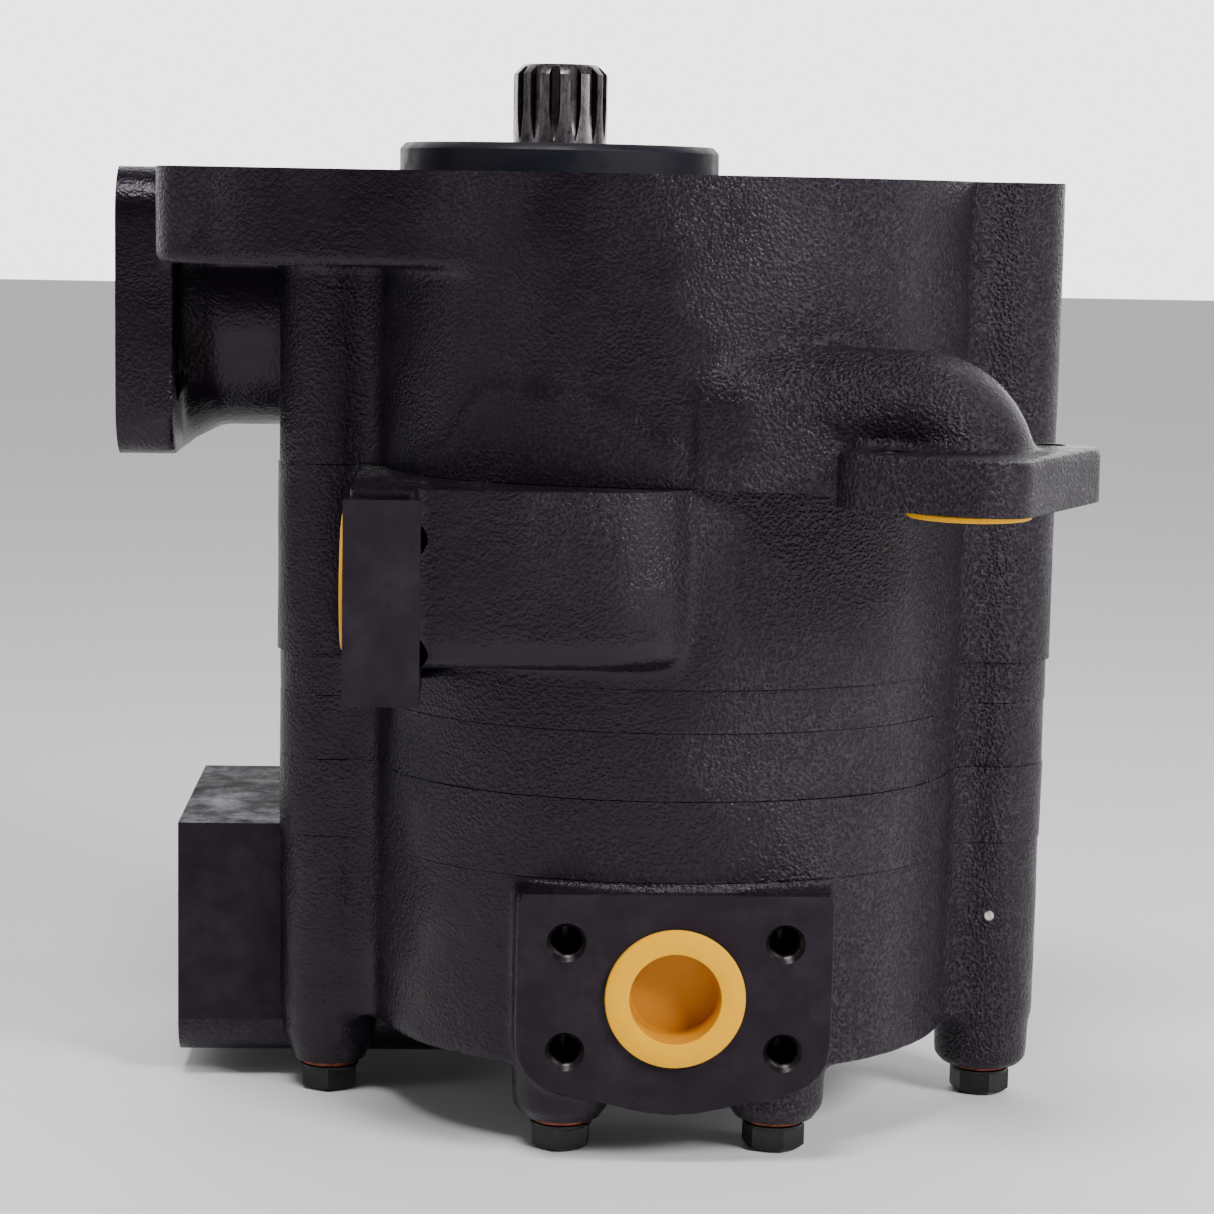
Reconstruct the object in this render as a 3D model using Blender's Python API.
"""Three-section hydraulic gear pump with a splined drive shaft, standing on its tie-bolt heads.

The six castings are stacked along Z and share one plan outline: a broad oval with a bolt lobe at each
end. Three gear pairs turn inside. Sizes are in millimetres here and become metres when a mesh is made.
The empty "pump_axis" is the middle of the castings, and the empties "drive_axis" and "idler_axis" lie on
the two shaft centre lines.
"""

import math

import bpy
from mathutils import Matrix, Vector

MM = 0.001
GAP = 0.3  # between two pieces that touch
HALF_GAP = GAP / 2
OVER = 5.0  # how far a cutter runs past the face that it opens

# Heights above the floor.
MOUNT_FACE_Z = 316.0
FRONT_JOINT_Z = 218.5
SECOND_JOINT_Z = 154.5
CENTRE_JOINT_Z = 140.5
THIRD_JOINT_Z = 118.5
REAR_JOINT_Z = 92.0
COVER_BOTTOM_Z = 29.0
BOSS_BOTTOM_Z = 11.0
JOINTS_Z = {
    "front": FRONT_JOINT_Z,
    "second": SECOND_JOINT_Z,
    "centre": CENTRE_JOINT_Z,
    "third": THIRD_JOINT_Z,
    "rear": REAR_JOINT_Z,
}

# Plan outline of the castings: side arcs and crown arcs make the oval, and a lobe holds each end bolt.
BODY_HALF_DEPTH = 84.0
SIDE_X = 20.0
SIDE_R = 80.0
LOBE_R = 18.0
FILLET_R = 10.0
CROWN_R = (SIDE_X**2 + BODY_HALF_DEPTH**2 - SIDE_R**2) / (2 * (BODY_HALF_DEPTH - SIDE_R))
# How far each casting stands out past the shared outline.
SECOND_GROW = 0.4
MIDDLE_GROW = -0.6
REAR_GROW = -0.9

# Tie bolts, M12.
END_BOLT_X = 114.0
SIDE_BOLT_X = 35.0
SIDE_BOLT_Y = 65.0
TIE_BOLTS = {
    "left": (-END_BOLT_X, 0),
    "right": (END_BOLT_X, 0),
    "front_left": (-SIDE_BOLT_X, -SIDE_BOLT_Y),
    "front_right": (SIDE_BOLT_X, -SIDE_BOLT_Y),
    "rear_left": (-SIDE_BOLT_X, SIDE_BOLT_Y),
    "rear_right": (SIDE_BOLT_X, SIDE_BOLT_Y),
}
BOLT_R = 6.0
BOLT_HOLE_R = 6.5
BOLT_TOP_Z = 230.0
BOLT_HEAD_R = 18.0 / math.sqrt(3)  # corner radius of an 18 mm hexagon
WASHER_R = 10.5
SPOT_FACE_R = WASHER_R + 1
WASHER_T = 1.7
BOSS_R = 16.0

# Racetrack seal and groove in the top face of each lower casting, as inner and outer radius.
SEAL_RADII = (51.2, 53.8)
SEAL_T = 2.1
GROOVE_RADII = (50.9, 54.1)
GROOVE_DEPTH = 2.4

# Dowels across the front and rear joints.
DOWEL_X = 76.0
DOWEL_Y = 47.0
DOWEL_R = 4.0
DOWEL_REACH = 6.0  # into each casting

# Gears: twelve teeth of module 6.5 at 25 degrees, and the shafts that they are cut on.
MODULE = 6.5
TEETH = 12
PRESSURE_ANGLE = math.radians(25)
BACKLASH = 0.35  # taken off each flank
PITCH_R = MODULE * TEETH / 2
SHAFT_X = PITCH_R
CHAMBER_R = PITCH_R + MODULE + 1.1
PLATE_R = CHAMBER_R - 0.5
JOURNAL_R = 19.0
BUSH_BORE_R = JOURNAL_R + 0.4
BUSH_R = 27.7
BUSH_SEAT_R = 28.0
GALLERY_R = 13.0
GALLERY_Y = 36.0
SHAFT_PASSAGE_R = 21.0
SOCKET_DEPTH = 14.0

# Floor, wall and roof heights inside the castings.
FRONT_CHAMBER_TOP_Z = MOUNT_FACE_Z - 44
FRONT_SEAT_TOP_Z = MOUNT_FACE_Z - 12
FRONT_GALLERY_TOP_Z = MOUNT_FACE_Z - 50
FRONT_SEAT_LOW_Z = FRONT_JOINT_Z + 20
WEB_LOW_Z = FRONT_JOINT_Z - 24.5
SECOND_GALLERY_LOW_Z = SECOND_JOINT_Z + 6
SECOND_OUTLET_TOP_Z = 188.0
REAR_SEAT_LOW_Z = REAR_JOINT_Z + 2.5
REAR_GALLERY_LOW_Z = 46.0

# Drive shaft nose: 14-tooth 12/24 spline.
SHAFT_TOP_Z = MOUNT_FACE_Z + 36
SPLINE_TEETH = 14
SPLINE_R = 15.7
SPLINE_ROOT_R = 13.5
SPLINE_START_Z = MOUNT_FACE_Z + 14
SEAL_LAND_Z = MOUNT_FACE_Z + 8
COUPLING_TEETH = 8
COUPLING_RADII = (11.0, 9.0)  # tooth tip and root
COUPLING_REACH = 12.0  # into each shaft
SOCKET_CLEARANCE = 0.4

# Pilot ring on the mounting face, centred on the drive shaft.
PILOT_R = 53.5
PILOT_H = 9.5
PILOT_CHAMFER = 2.0
SPIGOT_DEPTH = 8.0  # how deep the ring sits in the mounting face
SEAL_SEAT_R = 27.0
SEAL_STOP_R = 22.0
RING_GROOVE_R = 29.0
RING_GROOVE_Z = (5.4, 7.4)  # above the mounting face

# Mounting ear and its bolt pattern, also centred on the drive shaft.
EAR_X = -170.0
EAR_T = 30.5
EAR_HALF_DEPTH = 50.0
EAR_TIP = (20.0, 18.0)  # half length and corner radius of the rounded end
EAR_ROOT = [(-62, -68), (-20, -60), (-20, 60), (-62, 68)]
MOUNT_HALF_X = 111.0
MOUNT_HALF_Y = 32.0
MOUNT_TAP_R = 7.0

# Four-bolt split-flange patterns: long spacing, short spacing, tapped hole radius, port radius.
PORT_2_5 = (88.9, 50.8, 5.1, 31.75)
PORT_2 = (77.8, 42.9, 5.1, 25.4)
PORT_1_5 = (69.85, 35.71, 5.1, 19.0)
PORT_1_25 = (58.7, 30.2, 4.25, 16.0)
TAP_DEPTH = 24.0

# Front inlet, a 2 1/2 inch port facing -X.
INLET_FACE_X = -187.5
INLET_FLANGE_T = 19.0
INLET_Y = 57.5
INLET_Z = 267.5
INLET_HALF_Y = 57.5
INLET_HALF_Z = 48.5
INLET_CORNER_R = 16.0
INLET_BORE_DEPTH = 85.0
DUCT_R = 41.0
DUCT_X = (-179.5, -167.5, -155.5, -24.0, -8.0)
DUCT_RADII = (DUCT_R + 7, DUCT_R + 6, DUCT_R, DUCT_R, DUCT_R - 12)
SUCTION_PASSAGE_R = 18.0
SUCTION_DROP = 14.0  # how far the passage to the first chamber lies below the port's middle

# Front outlet, a 1 1/4 inch elbow on the front cover that ends in a flange facing down.
ELBOW_XY = (87.0, -100.0)
ELBOW_PIPE_Z = 245.5
ELBOW_FACE_Z = FRONT_JOINT_Z - 1.5
ELBOW_FLANGE_T = 16.3
ELBOW_HALF = (30.5, 40.0)
ELBOW_CORNER_R = 12.0
ELBOW_TURN = math.radians(-31)
ELBOW_START = (12.0, -61.0)  # where the pipe leaves the casting
ELBOW_BEND_R = 16.0
ELBOW_STRAIGHT = 26.0
ELBOW_RADII = (18.0, 18.0, 18.0, 18.5, 19.0, 20.0, 21.0, 22.0)  # the pipe, then its bend and foot
ELBOW_PASSAGE_R = 11.0
ELBOW_BORE_DEPTH = 16.0
ELBOW_PLUG_PROUD = 2.2  # the plug isn't pushed fully home
ELBOW_BLIND_DEPTH = 12.0
ELBOW_THROUGH_DEPTH = 45.0
ELBOW_WEB = [(5, -66), (5, -88), (40, -96), (62, -98), (62, -60)]

# Side outlet of the second housing, a 1 1/2 inch port facing -X.
SIDE_PAD_X = (-106.0, -81.0)
SIDE_PAD_Y = (-107.0, -13.0)
SIDE_PAD_Z = (152.0, 216.0)
SIDE_PORT_YZ = (-60.0, 185.0)
SIDE_NECK = [(-84, -40), (-84, -97), (-40, -99.5), (-22, -98), (-9, -93.5), (0, -88), (3, -80), (3, -60)]
SIDE_DUCT_Z = (166.0, 206.0)
SIDE_BORE_DEPTH = 20.0

# Rear outlet of the end cover, a 1 1/2 inch port facing -Y.
PAD_FACE_Y = -89.5
PAD_HALF_X = 50.0
PAD_TOP_Z = 89.5
PAD_BOTTOM_Z = 17.5
PAD_SAG_R = 140.0
PAD_SAG_HALF_ANGLE = math.radians(19)
PAD_SIDE_LOW_Z = 33.5
OUTLET_DEPTH = 58.0
OUTLET_Z = 56.0

# Rear inlet of the end cover, a 2 inch port facing -X.
REAR_BLOCK_X = (-167.0, -50.0)
REAR_BLOCK_Y = (4.0, 109.0)
REAR_BLOCK_Z = (8.0, 91.7)
REAR_BLOCK_CORNER_R = 14.0
REAR_INLET_DEPTH = 64.0
REAR_PASSAGE_R = 14.0
REAR_INLET_YZ = (56.5, 52.0)

# The middle of the stack, so that the whole pump's box is centred on the world's Z axis.
BODY_X = -(INLET_FACE_X + END_BOLT_X + LOBE_R + SECOND_GROW) / 2
ELBOW_REACH = (
    (ELBOW_HALF[0] - ELBOW_CORNER_R) * math.sin(-ELBOW_TURN)
    + (ELBOW_HALF[1] - ELBOW_CORNER_R) * math.cos(ELBOW_TURN)
    + ELBOW_CORNER_R
)
BODY_Y = -(INLET_Y + INLET_HALF_Y + ELBOW_XY[1] - ELBOW_REACH) / 2


# ---- plan curves, in millimetres -------------------------------------------------------------


def arc(centre, radius, start, end, count):
    """count + 1 points along an arc, its angles in radians."""
    angles = [start + (end - start) * i / count for i in range(count + 1)]
    return [(centre[0] + radius * math.cos(a), centre[1] + radius * math.sin(a)) for a in angles]


def circle(radius, count, centre=(0.0, 0.0)):
    return arc(centre, radius, 0, 2 * math.pi, count)[:-1]


def lobed_outline(grow=0.0):
    """The plan shape of every casting, grown outwards by grow."""
    lobe, side, fillet = LOBE_R + grow, SIDE_R + grow, FILLET_R - grow
    reach = END_BOLT_X - SIDE_X
    along = ((side + fillet) ** 2 - (lobe + fillet) ** 2 + reach**2) / (2 * reach)
    fillet_centre = (SIDE_X + along, math.sqrt((side + fillet) ** 2 - along**2))
    to_lobe = math.atan2(-fillet_centre[1], END_BOLT_X - fillet_centre[0])
    to_side = math.atan2(fillet_centre[1], along)
    crown_y = BODY_HALF_DEPTH - CROWN_R
    to_crown = math.atan2(-crown_y, SIDE_X)
    quarter = arc((END_BOLT_X, 0), lobe, 0, to_lobe + math.pi, 4)
    quarter += arc(fillet_centre, fillet, to_lobe, to_side - math.pi, 3)[1:]
    quarter += arc((SIDE_X, 0), side, to_side, to_crown, 5)[1:]
    quarter += arc((0, crown_y), CROWN_R + grow, to_crown, math.pi / 2, 2)[1:]
    left = [(-x, y) for x, y in reversed(quarter[:-1])]
    upper = quarter + left
    return upper + [(x, -y) for x, y in reversed(upper[1:-1])]


def figure_eight(radius):
    """Two overlapping circles round the two shafts."""
    half = math.acos(SHAFT_X / radius)
    right = arc((SHAFT_X, 0), radius, half - math.pi, math.pi - half, 16)
    return right + [(-x, -y) for x, y in right[1:-1]]


def racetrack(radius):
    right = arc((SHAFT_X, 0), radius, -math.pi / 2, math.pi / 2, 8)
    return right + [(-x, -y) for x, y in right]


def rounded_rectangle(half_x, half_y, radius, count=4):
    points = []
    for turn, (sx, sy) in enumerate(((1, 1), (-1, 1), (-1, -1), (1, -1))):
        centre = (sx * (half_x - radius), sy * (half_y - radius))
        points += arc(centre, radius, turn * math.pi / 2, (turn + 1) * math.pi / 2, count)
    return points


def toothed_outline(teeth, tip_r, root_r, tip_share, root_share):
    """Straight-sided spline teeth. The shares say how much of a pitch the tip and the root fill."""
    pitch = 2 * math.pi / teeth
    points = []
    for tooth in range(teeth):
        middle = tooth * pitch
        for r, offset in (
            (root_r, -0.5 + root_share / 2),
            (tip_r, -tip_share / 2),
            (tip_r, tip_share / 2),
            (root_r, 0.5 - root_share / 2),
        ):
            angle = middle + offset * pitch
            points.append((r * math.cos(angle), r * math.sin(angle)))
    return points


def involute(angle):
    return math.tan(angle) - angle


def gear_outline():
    """Involute teeth, with BACKLASH taken off each flank. One tooth points along +X."""
    base_r = PITCH_R * math.cos(PRESSURE_ANGLE)
    tip_r = PITCH_R + MODULE
    root_r = PITCH_R - 1.25 * MODULE
    at_pitch = math.pi / (2 * TEETH) - BACKLASH / PITCH_R + involute(PRESSURE_ANGLE)
    flank = []
    for step in range(3):
        r = base_r + (tip_r - base_r) * step / 2
        flank.append((r, at_pitch - involute(math.acos(base_r / r))))
    flank.insert(0, (root_r, at_pitch + 0.02))
    points = []
    for tooth in range(TEETH):
        middle = 2 * math.pi * tooth / TEETH
        side = [(r, middle - a) for r, a in flank] + [(r, middle + a) for r, a in reversed(flank)]
        points += [(r * math.cos(a), r * math.sin(a)) for r, a in side]
    return points


# ---- solids -----------------------------------------------------------------------------------


def prism(outline, low, high):
    """An upright solid on an outline, as vertices and faces."""
    n = len(outline)
    verts = [(x, y, low) for x, y in outline] + [(x, y, high) for x, y in outline]
    sides = [(i, (i + 1) % n, (i + 1) % n + n, i + n) for i in range(n)]
    return verts, sides + [tuple(range(n - 1, -1, -1)), tuple(range(n, 2 * n))]


def frame_prism(outer, inner, low, high):
    """An upright ring between two outlines of the same number of points."""
    n = len(outer)
    loops = ((outer, low), (outer, high), (inner, high), (inner, low))
    verts = [(x, y, z) for outline, z in loops for x, y in outline]
    faces = []
    for loop in range(4):
        a, b = loop * n, (loop + 1) % 4 * n
        faces += [(a + i, a + (i + 1) % n, b + (i + 1) % n, b + i) for i in range(n)]
    return verts, faces


def turned(profile, count, closed=False):
    """A profile of (radius, z) turned about Z. It runs up the outside. An open one gets flat ends."""
    rows = len(profile)
    verts = [(r * x, r * y, z) for r, z in profile for x, y in circle(1, count)]
    faces = []
    for row in range(rows if closed else rows - 1):
        a, b = row * count, (row + 1) % rows * count
        faces += [(a + i, a + (i + 1) % count, b + (i + 1) % count, b + i) for i in range(count)]
    if not closed:
        faces.append(tuple(range(count - 1, -1, -1)))
        faces.append(tuple(range((rows - 1) * count, rows * count)))
    return verts, faces


def swept(path, radii, count):
    """A round pipe along a path, with its own radius at each point."""
    points = [Vector(p) for p in path]
    verts = []
    for i, point in enumerate(points):
        along = (points[min(i + 1, len(points) - 1)] - points[max(i - 1, 0)]).normalized()
        turn = along.to_track_quat("Z", "Y")
        verts += [tuple(point + turn @ Vector((x, y, 0))) for x, y in circle(radii[i], count)]
    _, faces = turned([(1, i) for i in range(len(points))], count)
    return verts, faces


def moved(shape, matrix):
    verts, faces = shape
    return [tuple(matrix @ Vector(v)) for v in verts], faces


def facing(point, direction):
    """The matrix that takes the origin to a point, and +Z to a direction."""
    turn = Vector(direction).to_track_quat("Z", "Y").to_matrix().to_4x4()
    return Matrix.Translation(Vector(point)) @ turn


def cylinder(radius, start, end, count=16):
    axis = Vector(end) - Vector(start)
    shape = turned([(radius, 0), (radius, axis.length)], count)
    return moved(shape, facing(start, axis))


def upright(radius, xy, low, high, count=16):
    return moved(turned([(radius, low), (radius, high)], count), Matrix.Translation((*xy, 0)))


def block(x, y, z):
    """A box from its three ranges."""
    return prism([(x[0], y[0]), (x[1], y[0]), (x[1], y[1]), (x[0], y[1])], *z)


# ---- objects ----------------------------------------------------------------------------------


def material(name, colour, roughness, metallic=0.0):
    made = bpy.data.materials.new(name)
    made.use_nodes = True
    made.diffuse_color = (*colour, 1)
    shader = made.node_tree.nodes["Principled BSDF"]
    shader.inputs["Base Color"].default_value = (*colour, 1)
    shader.inputs["Roughness"].default_value = roughness
    shader.inputs["Metallic"].default_value = metallic
    return made


def mesh_of(name, shape):
    verts, faces = shape
    mesh = bpy.data.meshes.new(name)
    mesh.from_pydata([tuple(c * MM for c in v) for v in verts], [], faces)
    mesh.shade_smooth()
    mesh.set_sharp_from_angle(angle=math.radians(35))
    return mesh


def place(name, mesh, surface, parent, at=(0, 0, 0)):
    made = bpy.data.objects.new(name, mesh)
    bpy.context.scene.collection.objects.link(made)
    made.parent = parent
    made.location = [c * MM for c in at]
    if surface and not mesh.materials:
        mesh.materials.append(surface)
    return made


def part(name, shape, surface, parent, at=(0, 0, 0)):
    return place(name, mesh_of(name, shape), surface, parent, at)


def combine(target, operation, shapes):
    """Adds or cuts the shapes, which stay in the scene as hidden helpers."""
    helpers = bpy.data.collections.new(f"{target.name}_{operation.lower()}")
    bpy.context.scene.collection.children.link(helpers)
    for number, shape in enumerate(shapes):
        helper = bpy.data.objects.new(f"{helpers.name}_{number}", mesh_of(helpers.name, shape))
        helpers.objects.link(helper)
        helper.parent = target
        helper.hide_render = True
        helper.display_type = "WIRE"
    modifier = target.modifiers.new(operation.title(), "BOOLEAN")
    modifier.operation = operation
    modifier.operand_type = "COLLECTION"
    modifier.collection = helpers
    modifier.solver = "EXACT"


def empty(name, parent, at):
    made = bpy.data.objects.new(name, None)
    bpy.context.scene.collection.objects.link(made)
    made.parent = parent
    made.location = [c * MM for c in at]
    return made


# ---- cuts shared by the castings --------------------------------------------------------------


def bolt_holes(low, high):
    """The six tie-bolt holes between two heights."""
    return [upright(BOLT_HOLE_R, xy, low, high, 8) for xy in TIE_BOLTS.values()]


def seal_groove(top):
    """The racetrack groove in a casting's top face."""
    inner, outer = GROOVE_RADII
    return frame_prism(racetrack(outer), racetrack(inner), top - GROOVE_DEPTH, top + OVER)


def shaft_seats(low, high, radius=BUSH_SEAT_R, count=16):
    return [upright(radius, (x, 0), low, high, count) for x in (-SHAFT_X, SHAFT_X)]


def galleries(low, high, sides=(-1, 1)):
    """The upright passages in front of the gears, side -1, and behind them, side 1."""
    return [upright(GALLERY_R, (0, side * GALLERY_Y), low, high, 12) for side in sides]


def dowel_holes(low, high):
    return [upright(DOWEL_R + GAP, (s * DOWEL_X, s * DOWEL_Y), low, high, 8) for s in (-1, 1)]


def port_holes(pattern, at, outward, long_way, through=0.0, depths=(TAP_DEPTH,) * 4):
    """A port's bore, from its face to a depth of through, and its four tapped holes."""
    long_spacing, short_spacing, tap_r, bore_r = pattern
    face, out, long_dir = Vector(at), Vector(outward), Vector(long_way)
    short_dir = out.cross(long_dir)
    shapes = [cylinder(bore_r, face - out * through, face + out * 2, 24)]
    corners = ((-1, -1), (1, 1), (-1, 1), (1, -1))
    for depth, (along, across) in zip(depths, corners):
        foot = face + long_dir * along * long_spacing / 2 + short_dir * across * short_spacing / 2
        shapes.append(cylinder(tap_r, foot - out * depth, foot + out * 2, 8))
    return shapes


# ---- castings ---------------------------------------------------------------------------------


def elbow_shapes():
    """The pipe that leaves the front cover, its flange, and the web under it."""
    x, y = ELBOW_XY
    bend = ELBOW_BEND_R
    start = Vector((*ELBOW_START, ELBOW_PIPE_Z))
    run = (Vector((x, y, ELBOW_PIPE_Z)) - start).normalized()
    turn_start = Vector((x, y, ELBOW_PIPE_Z)) - run * bend
    path = [start, turn_start - run * ELBOW_STRAIGHT]
    for step in range(5):
        angle = step * math.pi / 8
        path.append(turn_start + run * bend * math.sin(angle) + Vector((0, 0, bend * (math.cos(angle) - 1))))
    path.append(Vector((x, y, FRONT_JOINT_Z + 6)))
    turn = Matrix.Translation((x, y, 0)) @ Matrix.Rotation(ELBOW_TURN, 4, "Z")
    outline = rounded_rectangle(*ELBOW_HALF, ELBOW_CORNER_R)
    plate = prism(outline, ELBOW_FACE_Z, ELBOW_FACE_Z + ELBOW_FLANGE_T)
    web = prism(ELBOW_WEB, FRONT_JOINT_Z + 0.2, ELBOW_PIPE_Z)
    return [swept(path, ELBOW_RADII, 16), moved(plate, turn), web]


def inlet_shapes():
    """The front inlet's flange and the duct from it along the back of the cover."""
    flange = prism(rounded_rectangle(INLET_HALF_Y, INLET_HALF_Z, INLET_CORNER_R), 0, INLET_FLANGE_T)
    turn = facing((INLET_FACE_X + INLET_FLANGE_T, INLET_Y, INLET_Z), (-1, 0, 0))
    duct = swept([(x, INLET_Y, INLET_Z) for x in DUCT_X], DUCT_RADII, 24)
    return [moved(flange, turn), duct]


def ear_shape():
    """The mounting ear, which widens into the oval."""
    half_length, corner_r = EAR_TIP
    tip = rounded_rectangle(half_length, EAR_HALF_DEPTH, corner_r)
    left = [(x + EAR_X + half_length, y) for x, y in tip if x < 0]
    return prism(left + EAR_ROOT, MOUNT_FACE_Z - EAR_T, MOUNT_FACE_Z)


def elbow_cuts():
    """The passage from the first gear chamber to the elbow flange, and the flange's port."""
    x, y = ELBOW_XY
    along = (math.sin(-ELBOW_TURN), math.cos(ELBOW_TURN), 0)
    bottom = (x, y, ELBOW_FACE_Z)
    start, end = (0, -24, ELBOW_PIPE_Z - 1), (x - 3, y + 1.5, ELBOW_PIPE_Z - 1)
    passage = cylinder(ELBOW_PASSAGE_R, start, end, 12)
    rise = upright(ELBOW_PASSAGE_R, (x, y), FRONT_JOINT_Z + 8, ELBOW_PIPE_Z - 2, 12)
    depths = (ELBOW_THROUGH_DEPTH,) * 2 + (ELBOW_BLIND_DEPTH,) * 2
    holes = port_holes(PORT_1_25, bottom, (0, 0, -1), along, ELBOW_BORE_DEPTH, depths)
    return [passage, rise, *holes]


def front_cover(surface, parent):
    """The first section: mounting face, first gear chamber, suction inlet and elbow outlet."""
    bottom = FRONT_JOINT_Z + HALF_GAP
    cover = part("front_cover", prism(lobed_outline(), bottom, MOUNT_FACE_Z), surface, parent)
    combine(cover, "UNION", [ear_shape(), *inlet_shapes(), *elbow_shapes()])
    face = (INLET_FACE_X, INLET_Y, INLET_Z)
    cuts = [prism(figure_eight(CHAMBER_R), FRONT_JOINT_Z - OVER, FRONT_CHAMBER_TOP_Z)]
    cuts += shaft_seats(FRONT_SEAT_LOW_Z, FRONT_SEAT_TOP_Z)
    cuts.append(upright(SHAFT_PASSAGE_R, (-SHAFT_X, 0), FRONT_SEAT_TOP_Z - OVER, MOUNT_FACE_Z + OVER))
    seat_low = MOUNT_FACE_Z - SPIGOT_DEPTH - GAP
    cuts.append(upright(PILOT_R + GAP, (-SHAFT_X, 0), seat_low, MOUNT_FACE_Z + OVER, 24))
    cuts += bolt_holes(FRONT_JOINT_Z - OVER, BOLT_TOP_Z + 1.5)
    cuts += galleries(FRONT_JOINT_Z - OVER, FRONT_GALLERY_TOP_Z)
    cuts += dowel_holes(FRONT_JOINT_Z - OVER, FRONT_JOINT_Z + DOWEL_REACH + GAP)
    cuts += port_holes(PORT_2_5, face, (-1, 0, 0), (0, 1, 0), INLET_BORE_DEPTH)
    suction_z = INLET_Z - SUCTION_DROP
    cuts.append(cylinder(SUCTION_PASSAGE_R, (-112, INLET_Y, suction_z), (0, GALLERY_Y + 2, suction_z)))
    cuts += elbow_cuts()
    for side_x in (-MOUNT_HALF_X, MOUNT_HALF_X):
        for side_y in (-MOUNT_HALF_Y, MOUNT_HALF_Y):
            hole = (side_x - SHAFT_X, side_y)
            cuts.append(upright(MOUNT_TAP_R, hole, MOUNT_FACE_Z - TAP_DEPTH, MOUNT_FACE_Z + OVER, 10))
    combine(cover, "DIFFERENCE", cuts)
    return cover


def second_gear_housing(surface, parent):
    """The second gear chamber under a bearing web, with a port pad and a neck on its left front."""
    low, high = SECOND_JOINT_Z + HALF_GAP, FRONT_JOINT_Z - HALF_GAP
    housing = part("second_gear_housing", prism(lobed_outline(SECOND_GROW), low, high), surface, parent)
    pad = block(SIDE_PAD_X, SIDE_PAD_Y, SIDE_PAD_Z)
    neck = prism(SIDE_NECK, SECOND_JOINT_Z + 8, high - 0.2)
    combine(housing, "UNION", [pad, neck])
    face = (SIDE_PAD_X[0], *SIDE_PORT_YZ)
    cuts = [prism(figure_eight(CHAMBER_R), SECOND_JOINT_Z - OVER, WEB_LOW_Z)]
    cuts += shaft_seats(WEB_LOW_Z - OVER, FRONT_JOINT_Z + OVER)
    cuts += bolt_holes(SECOND_JOINT_Z - OVER, FRONT_JOINT_Z + OVER)
    cuts += galleries(SECOND_GALLERY_LOW_Z, FRONT_JOINT_Z + OVER, (1,))
    cuts += galleries(SECOND_GALLERY_LOW_Z, SECOND_OUTLET_TOP_Z, (-1,))
    cuts.append(seal_groove(high))
    cuts.append(prism(lobed_outline(MIDDLE_GROW + GAP), SECOND_JOINT_Z - 8, low))
    cuts += dowel_holes(FRONT_JOINT_Z - DOWEL_REACH - GAP, FRONT_JOINT_Z + OVER)
    cuts += port_holes(PORT_1_5, face, (-1, 0, 0), (0, 1, 0), SIDE_BORE_DEPTH)
    cuts.append(block((-88, -15), (-93, -76), SIDE_DUCT_Z))
    cuts.append(block((-26, -4), (-80, -40), (SIDE_DUCT_Z[0], SECOND_OUTLET_TOP_Z)))
    cuts.append(block((-96, -80), (-94, -62), SIDE_DUCT_Z))
    combine(housing, "DIFFERENCE", cuts)
    return housing


def plain_section(name, grow, low, high, cuts, surface, parent):
    """A casting that is only the shared outline, less what is cut from it."""
    low, high = low + HALF_GAP, high - HALF_GAP
    section = part(name, prism(lobed_outline(grow), low, high), surface, parent)
    combine(section, "DIFFERENCE", [*bolt_holes(low - OVER, high + OVER), seal_groove(high), *cuts])
    return section


def middle_sections(surface, parent):
    """The centre plate, the thin third housing and the plate that carries the rear bushes."""
    plain_section(
        "centre_plate", MIDDLE_GROW, CENTRE_JOINT_Z, SECOND_JOINT_Z,
        shaft_seats(CENTRE_JOINT_Z - OVER, SECOND_JOINT_Z + OVER), surface, parent,
    )
    chamber = [prism(figure_eight(CHAMBER_R), THIRD_JOINT_Z - OVER, CENTRE_JOINT_Z + OVER)]
    chamber += galleries(THIRD_JOINT_Z - OVER, CENTRE_JOINT_Z - 3)
    chamber += dowel_holes(THIRD_JOINT_Z - OVER, THIRD_JOINT_Z + DOWEL_REACH + GAP)
    plain_section("third_gear_housing", MIDDLE_GROW, THIRD_JOINT_Z, CENTRE_JOINT_Z, chamber, surface, parent)
    seats = shaft_seats(REAR_SEAT_LOW_Z, THIRD_JOINT_Z + OVER)
    seats += shaft_seats(REAR_JOINT_Z - OVER, REAR_JOINT_Z + 8, 22)
    seats += galleries(REAR_JOINT_Z - OVER, THIRD_JOINT_Z + OVER)
    seats += dowel_holes(THIRD_JOINT_Z - DOWEL_REACH - GAP, THIRD_JOINT_Z + OVER)
    plain_section("rear_bearing_plate", MIDDLE_GROW, REAR_JOINT_Z, THIRD_JOINT_Z, seats, surface, parent)


def outlet_pad():
    """The rear outlet's pad, whose lower edge sags to its middle."""
    down = -math.pi / 2
    centre = (0, PAD_BOTTOM_Z + PAD_SAG_R)
    sag = arc(centre, PAD_SAG_R, down - PAD_SAG_HALF_ANGLE, down + PAD_SAG_HALF_ANGLE, 6)
    outline = [(x, z) for x, z in sag if abs(x) < PAD_HALF_X - 4]
    right = [(PAD_HALF_X, PAD_SIDE_LOW_Z), (PAD_HALF_X, PAD_TOP_Z)]
    outline += right + [(-x, z) for x, z in reversed(right)]
    return moved(prism(outline, 50, -PAD_FACE_Y), facing((0, 0, 0), (0, -1, 0)))


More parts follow.
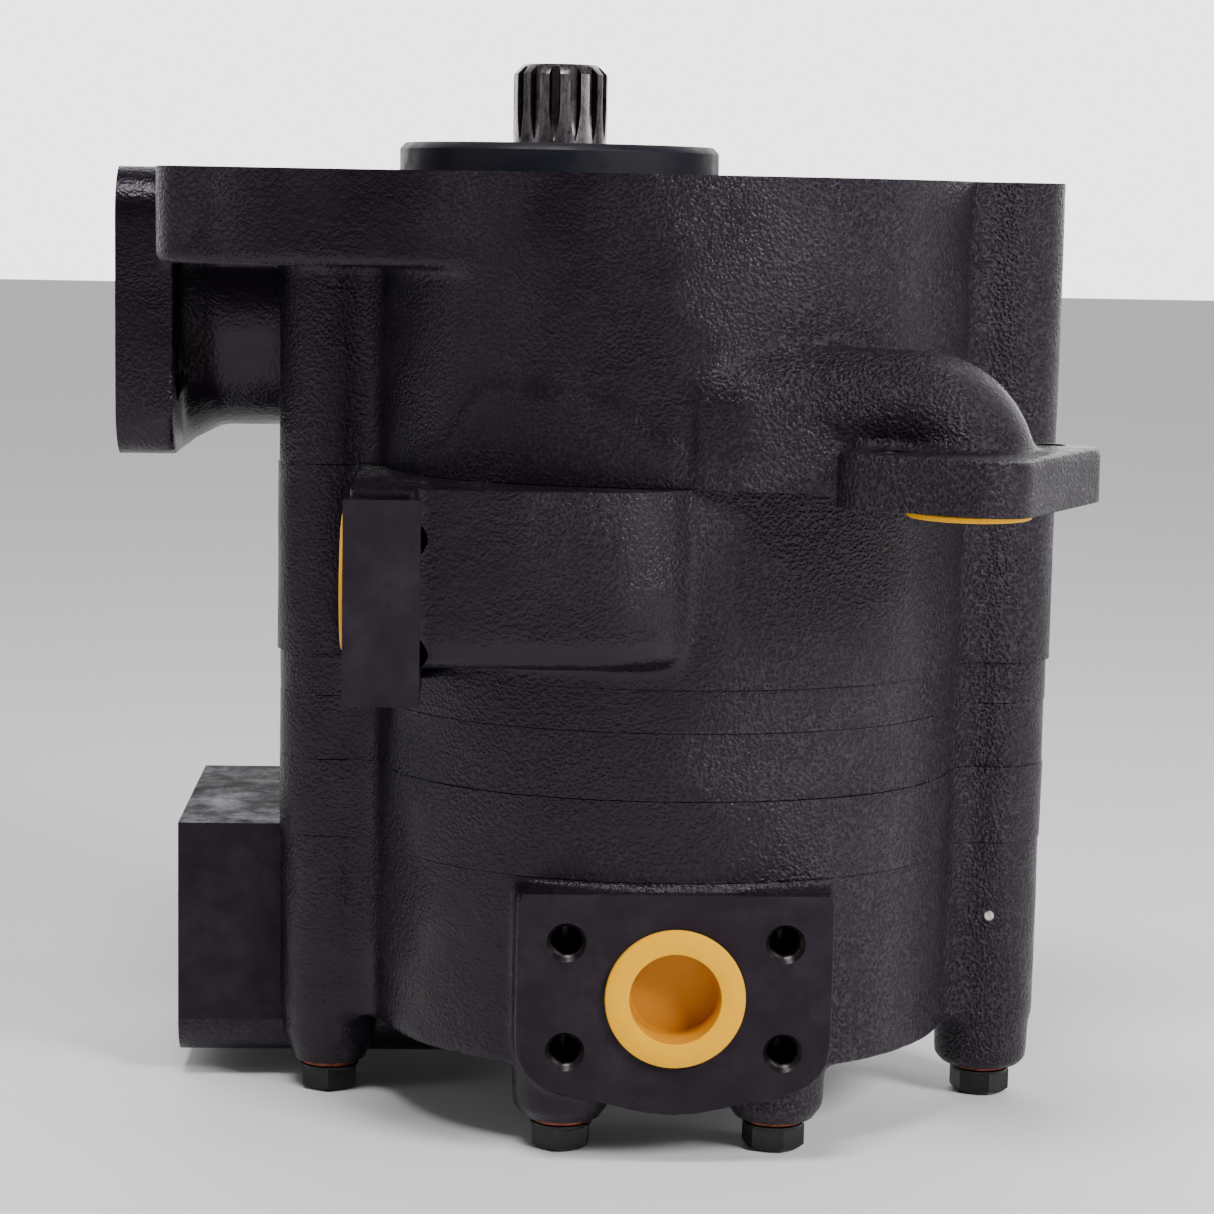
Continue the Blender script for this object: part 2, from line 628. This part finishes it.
def port_end_cover(surface, parent):
    """The last section: rear outlet in front, rear inlet block on the left, and six bolt bosses."""
    high = REAR_JOINT_Z - HALF_GAP
    cover = part("port_end_cover", prism(lobed_outline(REAR_GROW), COVER_BOTTOM_Z, high), surface, parent)
    shapes = [upright(BOSS_R, xy, BOSS_BOTTOM_Z, 60, 16) for xy in TIE_BOLTS.values()]
    middle_y, half_y = sum(REAR_BLOCK_Y) / 2, (REAR_BLOCK_Y[1] - REAR_BLOCK_Y[0]) / 2
    middle_z, half_z = sum(REAR_BLOCK_Z) / 2, (REAR_BLOCK_Z[1] - REAR_BLOCK_Z[0]) / 2
    lower = [(x, y) for x, y in rounded_rectangle(half_y, half_z, REAR_BLOCK_CORNER_R, 3) if y < 0]
    outline = [(half_y, half_z), (-half_y, half_z), *lower]
    block_length = REAR_BLOCK_X[1] - REAR_BLOCK_X[0]
    inlet_block = prism(outline, 0, block_length)
    shapes.append(moved(inlet_block, facing((REAR_BLOCK_X[1], middle_y, middle_z), (-1, 0, 0))))
    shapes.append(outlet_pad())
    combine(cover, "UNION", shapes)
    inlet_face = (REAR_BLOCK_X[0], *REAR_INLET_YZ)
    cuts = bolt_holes(0, REAR_JOINT_Z + OVER)
    cuts += [upright(SPOT_FACE_R, xy, 0, BOSS_BOTTOM_Z) for xy in TIE_BOLTS.values()]
    cuts.append(seal_groove(high))
    cuts += galleries(REAR_GALLERY_LOW_Z, REAR_JOINT_Z + OVER)
    cuts += port_holes(PORT_1_5, (0, PAD_FACE_Y, OUTLET_Z), (0, -1, 0), (1, 0, 0), OUTLET_DEPTH)
    cuts += port_holes(PORT_2, inlet_face, (-1, 0, 0), (0, 1, 0), REAR_INLET_DEPTH)
    cuts.append(cylinder(REAR_PASSAGE_R, (-106, 52, 56), (0, GALLERY_Y - 2, 62)))
    combine(cover, "DIFFERENCE", cuts)
    return cover


# ---- running gear -----------------------------------------------------------------------------


def geared_shaft(name, gear_low, gear_high, low, high, socket_ends, phase, surface, parent):
    """A gear cut in one piece with its two journals, with a spline socket in the ends named."""
    shaft = part(name, turned([(JOURNAL_R, low), (JOURNAL_R, high)], 16), surface, parent)
    outline = gear_outline()
    teeth = moved(prism(outline, gear_low, gear_high), Matrix.Rotation(phase, 4, "Z"))
    combine(shaft, "UNION", [teeth])
    socket = toothed_outline(COUPLING_TEETH, *(r + SOCKET_CLEARANCE for r in COUPLING_RADII), 0.5, 0.4)
    spans = {"low": (low - OVER, low + SOCKET_DEPTH), "high": (high - SOCKET_DEPTH, high + OVER)}
    if socket_ends:
        combine(shaft, "DIFFERENCE", [prism(socket, *spans[end]) for end in socket_ends])
    return shaft


def drive_shaft(gear_low, gear_high, low, surface, parent):
    """The input shaft: spline nose, seal land, first drive gear and a socket at its lower end."""
    shaft = geared_shaft("drive_shaft", gear_low, gear_high, low, SEAL_LAND_Z, ["low"], 0, surface, parent)
    nose = turned([(SPLINE_R, SEAL_LAND_Z - 6), (SPLINE_R, SPLINE_START_Z)], 20)
    spline = toothed_outline(SPLINE_TEETH, SPLINE_R, SPLINE_ROOT_R, 0.42, 0.34)
    verts, faces = prism(spline, SPLINE_START_Z - 2, SHAFT_TOP_Z - 3.2)
    top = len(spline)
    faces.pop()
    verts += [(x * 0.8, y * 0.8, SHAFT_TOP_Z) for x, y in spline]
    faces += [(top + i, top + (i + 1) % top, 2 * top + (i + 1) % top, 2 * top + i) for i in range(top)]
    faces.append(tuple(range(2 * top, 3 * top)))
    combine(shaft, "UNION", [nose, (verts, faces)])
    return shaft


def running_gear(surface, drive_axis, idler_axis):
    """Three meshing gear pairs. Splined couplings carry the drive from each section to the next."""
    half_tooth = math.pi / TEETH
    spans = {
        "first": (224.1, 266.4, 206.7, 303.3),
        "second": (159.3, 189.4, 147.8, 205.6),
        "third": (122.2, 136.8, 95.4, 147.2),
    }
    drive_shaft(*spans["first"][:3], surface, drive_axis)
    geared_shaft("second_drive_gear", *spans["second"], ["low", "high"], 0, surface, drive_axis)
    geared_shaft("third_drive_gear", *spans["third"], ["high"], 0, surface, drive_axis)
    for stage, span in spans.items():
        geared_shaft(f"{stage}_idler_gear", *span, [], half_tooth, surface, idler_axis)
    outline = toothed_outline(COUPLING_TEETH, *COUPLING_RADII, 0.42, 0.48)
    for name, joint_z in (("first_coupling", 206.15), ("second_coupling", 147.5)):
        low, high = joint_z - COUPLING_REACH, joint_z + COUPLING_REACH
        part(name, prism(outline, low, high), surface, drive_axis)


def bushes(surface, parent):
    """A plain bearing bush round each shaft in the front cover, the web, the centre plate and the rear."""
    spans = {
        "front": (MOUNT_FACE_Z - 44, MOUNT_FACE_Z - 12.3),
        "web": (FRONT_JOINT_Z - 24.2, FRONT_JOINT_Z - 0.5),
        "centre": (CENTRE_JOINT_Z + 0.5, SECOND_JOINT_Z - 0.5),
        "rear": (REAR_JOINT_Z + 2.8, THIRD_JOINT_Z - 0.5),
    }
    for place_name, (low, high) in spans.items():
        ring = frame_prism(circle(BUSH_R, 16), circle(BUSH_BORE_R, 16), low, high)
        mesh = mesh_of(f"{place_name}_bush", ring)
        for side, x in (("drive", -SHAFT_X), ("idler", SHAFT_X)):
            place(f"{place_name}_{side}_bush", mesh, surface, parent, (x, 0, 0))


def thrust_plates(surface, parent):
    """A figure-eight plate above and below each gear pair."""
    spans = {
        "first_upper": (266.7, 271.6),
        "first_lower": (218.9, 223.8),
        "second_upper": (189.7, 193.6),
        "second_lower": (155.0, 159.0),
        "third_upper": (137.1, 140.0),
        "third_lower": (118.9, 121.9),
    }
    for name, (low, high) in spans.items():
        plate = part(f"{name}_thrust_plate", prism(figure_eight(PLATE_R), low, high), surface, parent)
        combine(plate, "DIFFERENCE", shaft_seats(low - 2, high + 2, JOURNAL_R + 0.5))


# ---- small pieces -----------------------------------------------------------------------------


def pilot_and_seal(steel, rubber, drive_axis_xy, parent):
    at = (*drive_axis_xy, MOUNT_FACE_Z)
    groove_low, groove_high = RING_GROOVE_Z
    profile = [
        (SEAL_STOP_R, -SPIGOT_DEPTH), (PILOT_R, -SPIGOT_DEPTH),
        (PILOT_R, PILOT_H - PILOT_CHAMFER), (PILOT_R - PILOT_CHAMFER, PILOT_H), (SEAL_SEAT_R, PILOT_H),
        (SEAL_SEAT_R, groove_high), (RING_GROOVE_R, groove_high), (RING_GROOVE_R, groove_low),
        (SEAL_SEAT_R, groove_low), (SEAL_SEAT_R, -5), (SEAL_STOP_R, -5),
    ]
    part("pilot_ring", turned(profile, 24, closed=True), steel, parent, at)
    lip = [
        (19.4, 1.5), (21, -4.6), (26.7, -4.6), (26.7, 4.9),
        (24.2, 4.9), (24.2, -2.2), (22.4, -2.2), (20.2, 3.2),
    ]
    part("shaft_seal", turned(lip, 16, closed=True), rubber, parent, at)
    opening = math.radians(17)
    outer = arc((0, 0), 28.6, opening, 2 * math.pi - opening, 20)
    inner = arc((0, 0), 24.4, opening, 2 * math.pi - opening, 20)
    part("seal_retaining_ring", prism(outer + inner[::-1], 5.8, 7.0), steel, parent, at)


def tie_bolts(steel, copper, parent):
    """Six hexagon bolts from below, each with a soft washer against its boss."""
    head_top = BOSS_BOTTOM_Z - WASHER_T - 2 * GAP
    hexagon, neck = circle(BOLT_HEAD_R, 6), circle(8.6, 6)
    verts = [(x, y, 0) for x, y in neck] + [(x, y, 0.9) for x, y in hexagon]
    verts += [(x, y, head_top) for x, y in hexagon]
    rows = [(a + i, a + (i + 1) % 6, a + 6 + (i + 1) % 6, a + 6 + i) for a in (0, 6) for i in range(6)]
    head = verts, rows + [tuple(range(5, -1, -1)), tuple(range(12, 18))]
    washer_low = head_top + GAP
    washer = frame_prism(circle(WASHER_R, 16), circle(BOLT_HOLE_R, 16), washer_low, washer_low + WASHER_T)
    washer_mesh = mesh_of("bolt_washer", washer)
    for name, (x, y) in TIE_BOLTS.items():
        bolt = part(f"tie_bolt_{name}", head, steel, parent, (x, y, 0))
        combine(bolt, "UNION", [upright(BOLT_R, (0, 0), head_top - 2, BOLT_TOP_Z, 8)])
        place(f"bolt_washer_{name}", washer_mesh, copper, parent, (x, y, 0))


def section_seals(rubber, parent):
    """A racetrack seal in the groove under each joint."""
    inner, outer = SEAL_RADII
    for name, joint_z in JOINTS_Z.items():
        top = joint_z - HALF_GAP
        ring = frame_prism(racetrack(outer), racetrack(inner), top - SEAL_T, top)
        part(f"{name}_section_seal", ring, rubber, parent)


def dowels(steel, parent):
    for name, joint_z in (("front", FRONT_JOINT_Z), ("rear", THIRD_JOINT_Z)):
        ends = [(DOWEL_R, joint_z - DOWEL_REACH), (DOWEL_R, joint_z + DOWEL_REACH)]
        mesh = mesh_of(f"{name}_dowel", turned(ends, 8))
        for side, s in (("left", -1), ("right", 1)):
            place(f"{name}_dowel_{side}", mesh, steel, parent, (s * DOWEL_X, s * DOWEL_Y, 0))


def port_plug(name, bore_r, at, outward, plastic, parent):
    """A push-in plastic plug: a cup in the bore with a flat rim outside."""
    cup_r = bore_r - 0.5
    rim_r, hollow_r = bore_r + 3.5, bore_r - 4.5
    profile = [
        (cup_r - 0.8, -15), (cup_r, GAP), (rim_r, GAP), (rim_r, 2.2),
        (hollow_r, 2.2), (hollow_r - 0.6, -11.5),
    ]
    plug = part(name, turned(profile, 24), plastic, parent, at)
    plug.rotation_euler = Vector(outward).to_track_quat("Z", "Y").to_euler()
    return plug


# ---- assembly ---------------------------------------------------------------------------------


def clear_scene():
    for old in list(bpy.data.objects):
        bpy.data.objects.remove(old, do_unlink=True)


def main():
    clear_scene()
    black = material("black_painted_iron", (0.022, 0.019, 0.024), 0.45)
    blued = material("blued_steel", (0.012, 0.013, 0.018), 0.3, 0.6)
    bolt_steel = material("black_bolt_steel", (0.02, 0.02, 0.022), 0.4, 0.5)
    steel = material("ground_steel", (0.42, 0.38, 0.39), 0.28, 1.0)
    bronze = material("bearing_bronze", (0.5, 0.31, 0.12), 0.35, 1.0)
    copper = material("copper_washer", (0.6, 0.22, 0.12), 0.35, 1.0)
    rubber = material("seal_rubber", (0.015, 0.015, 0.016), 0.6)
    yellow = material("yellow_plastic", (0.77, 0.47, 0.08), 0.4)

    pump = empty("pump_axis", None, (BODY_X, BODY_Y, 0))
    drive_axis = empty("drive_axis", pump, (-SHAFT_X, 0, 0))
    idler_axis = empty("idler_axis", pump, (SHAFT_X, 0, 0))

    front_cover(black, pump)
    second_gear_housing(black, pump)
    middle_sections(black, pump)
    port_end_cover(black, pump)
    pilot_and_seal(blued, rubber, (-SHAFT_X, 0), pump)
    tie_bolts(bolt_steel, copper, pump)
    section_seals(rubber, pump)
    dowels(steel, pump)
    bushes(bronze, pump)
    thrust_plates(bronze, pump)
    running_gear(steel, drive_axis, idler_axis)
    elbow_mouth = (*ELBOW_XY, ELBOW_FACE_Z - ELBOW_PLUG_PROUD)
    port_plug("front_port_plug", 19, (0, PAD_FACE_Y, OUTLET_Z), (0, -1, 0), yellow, pump)
    port_plug("side_port_plug", 19, (SIDE_PAD_X[0], *SIDE_PORT_YZ), (-1, 0, 0), yellow, pump)
    port_plug("elbow_port_plug", 16, elbow_mouth, (0, 0, -1), yellow, pump)


main()
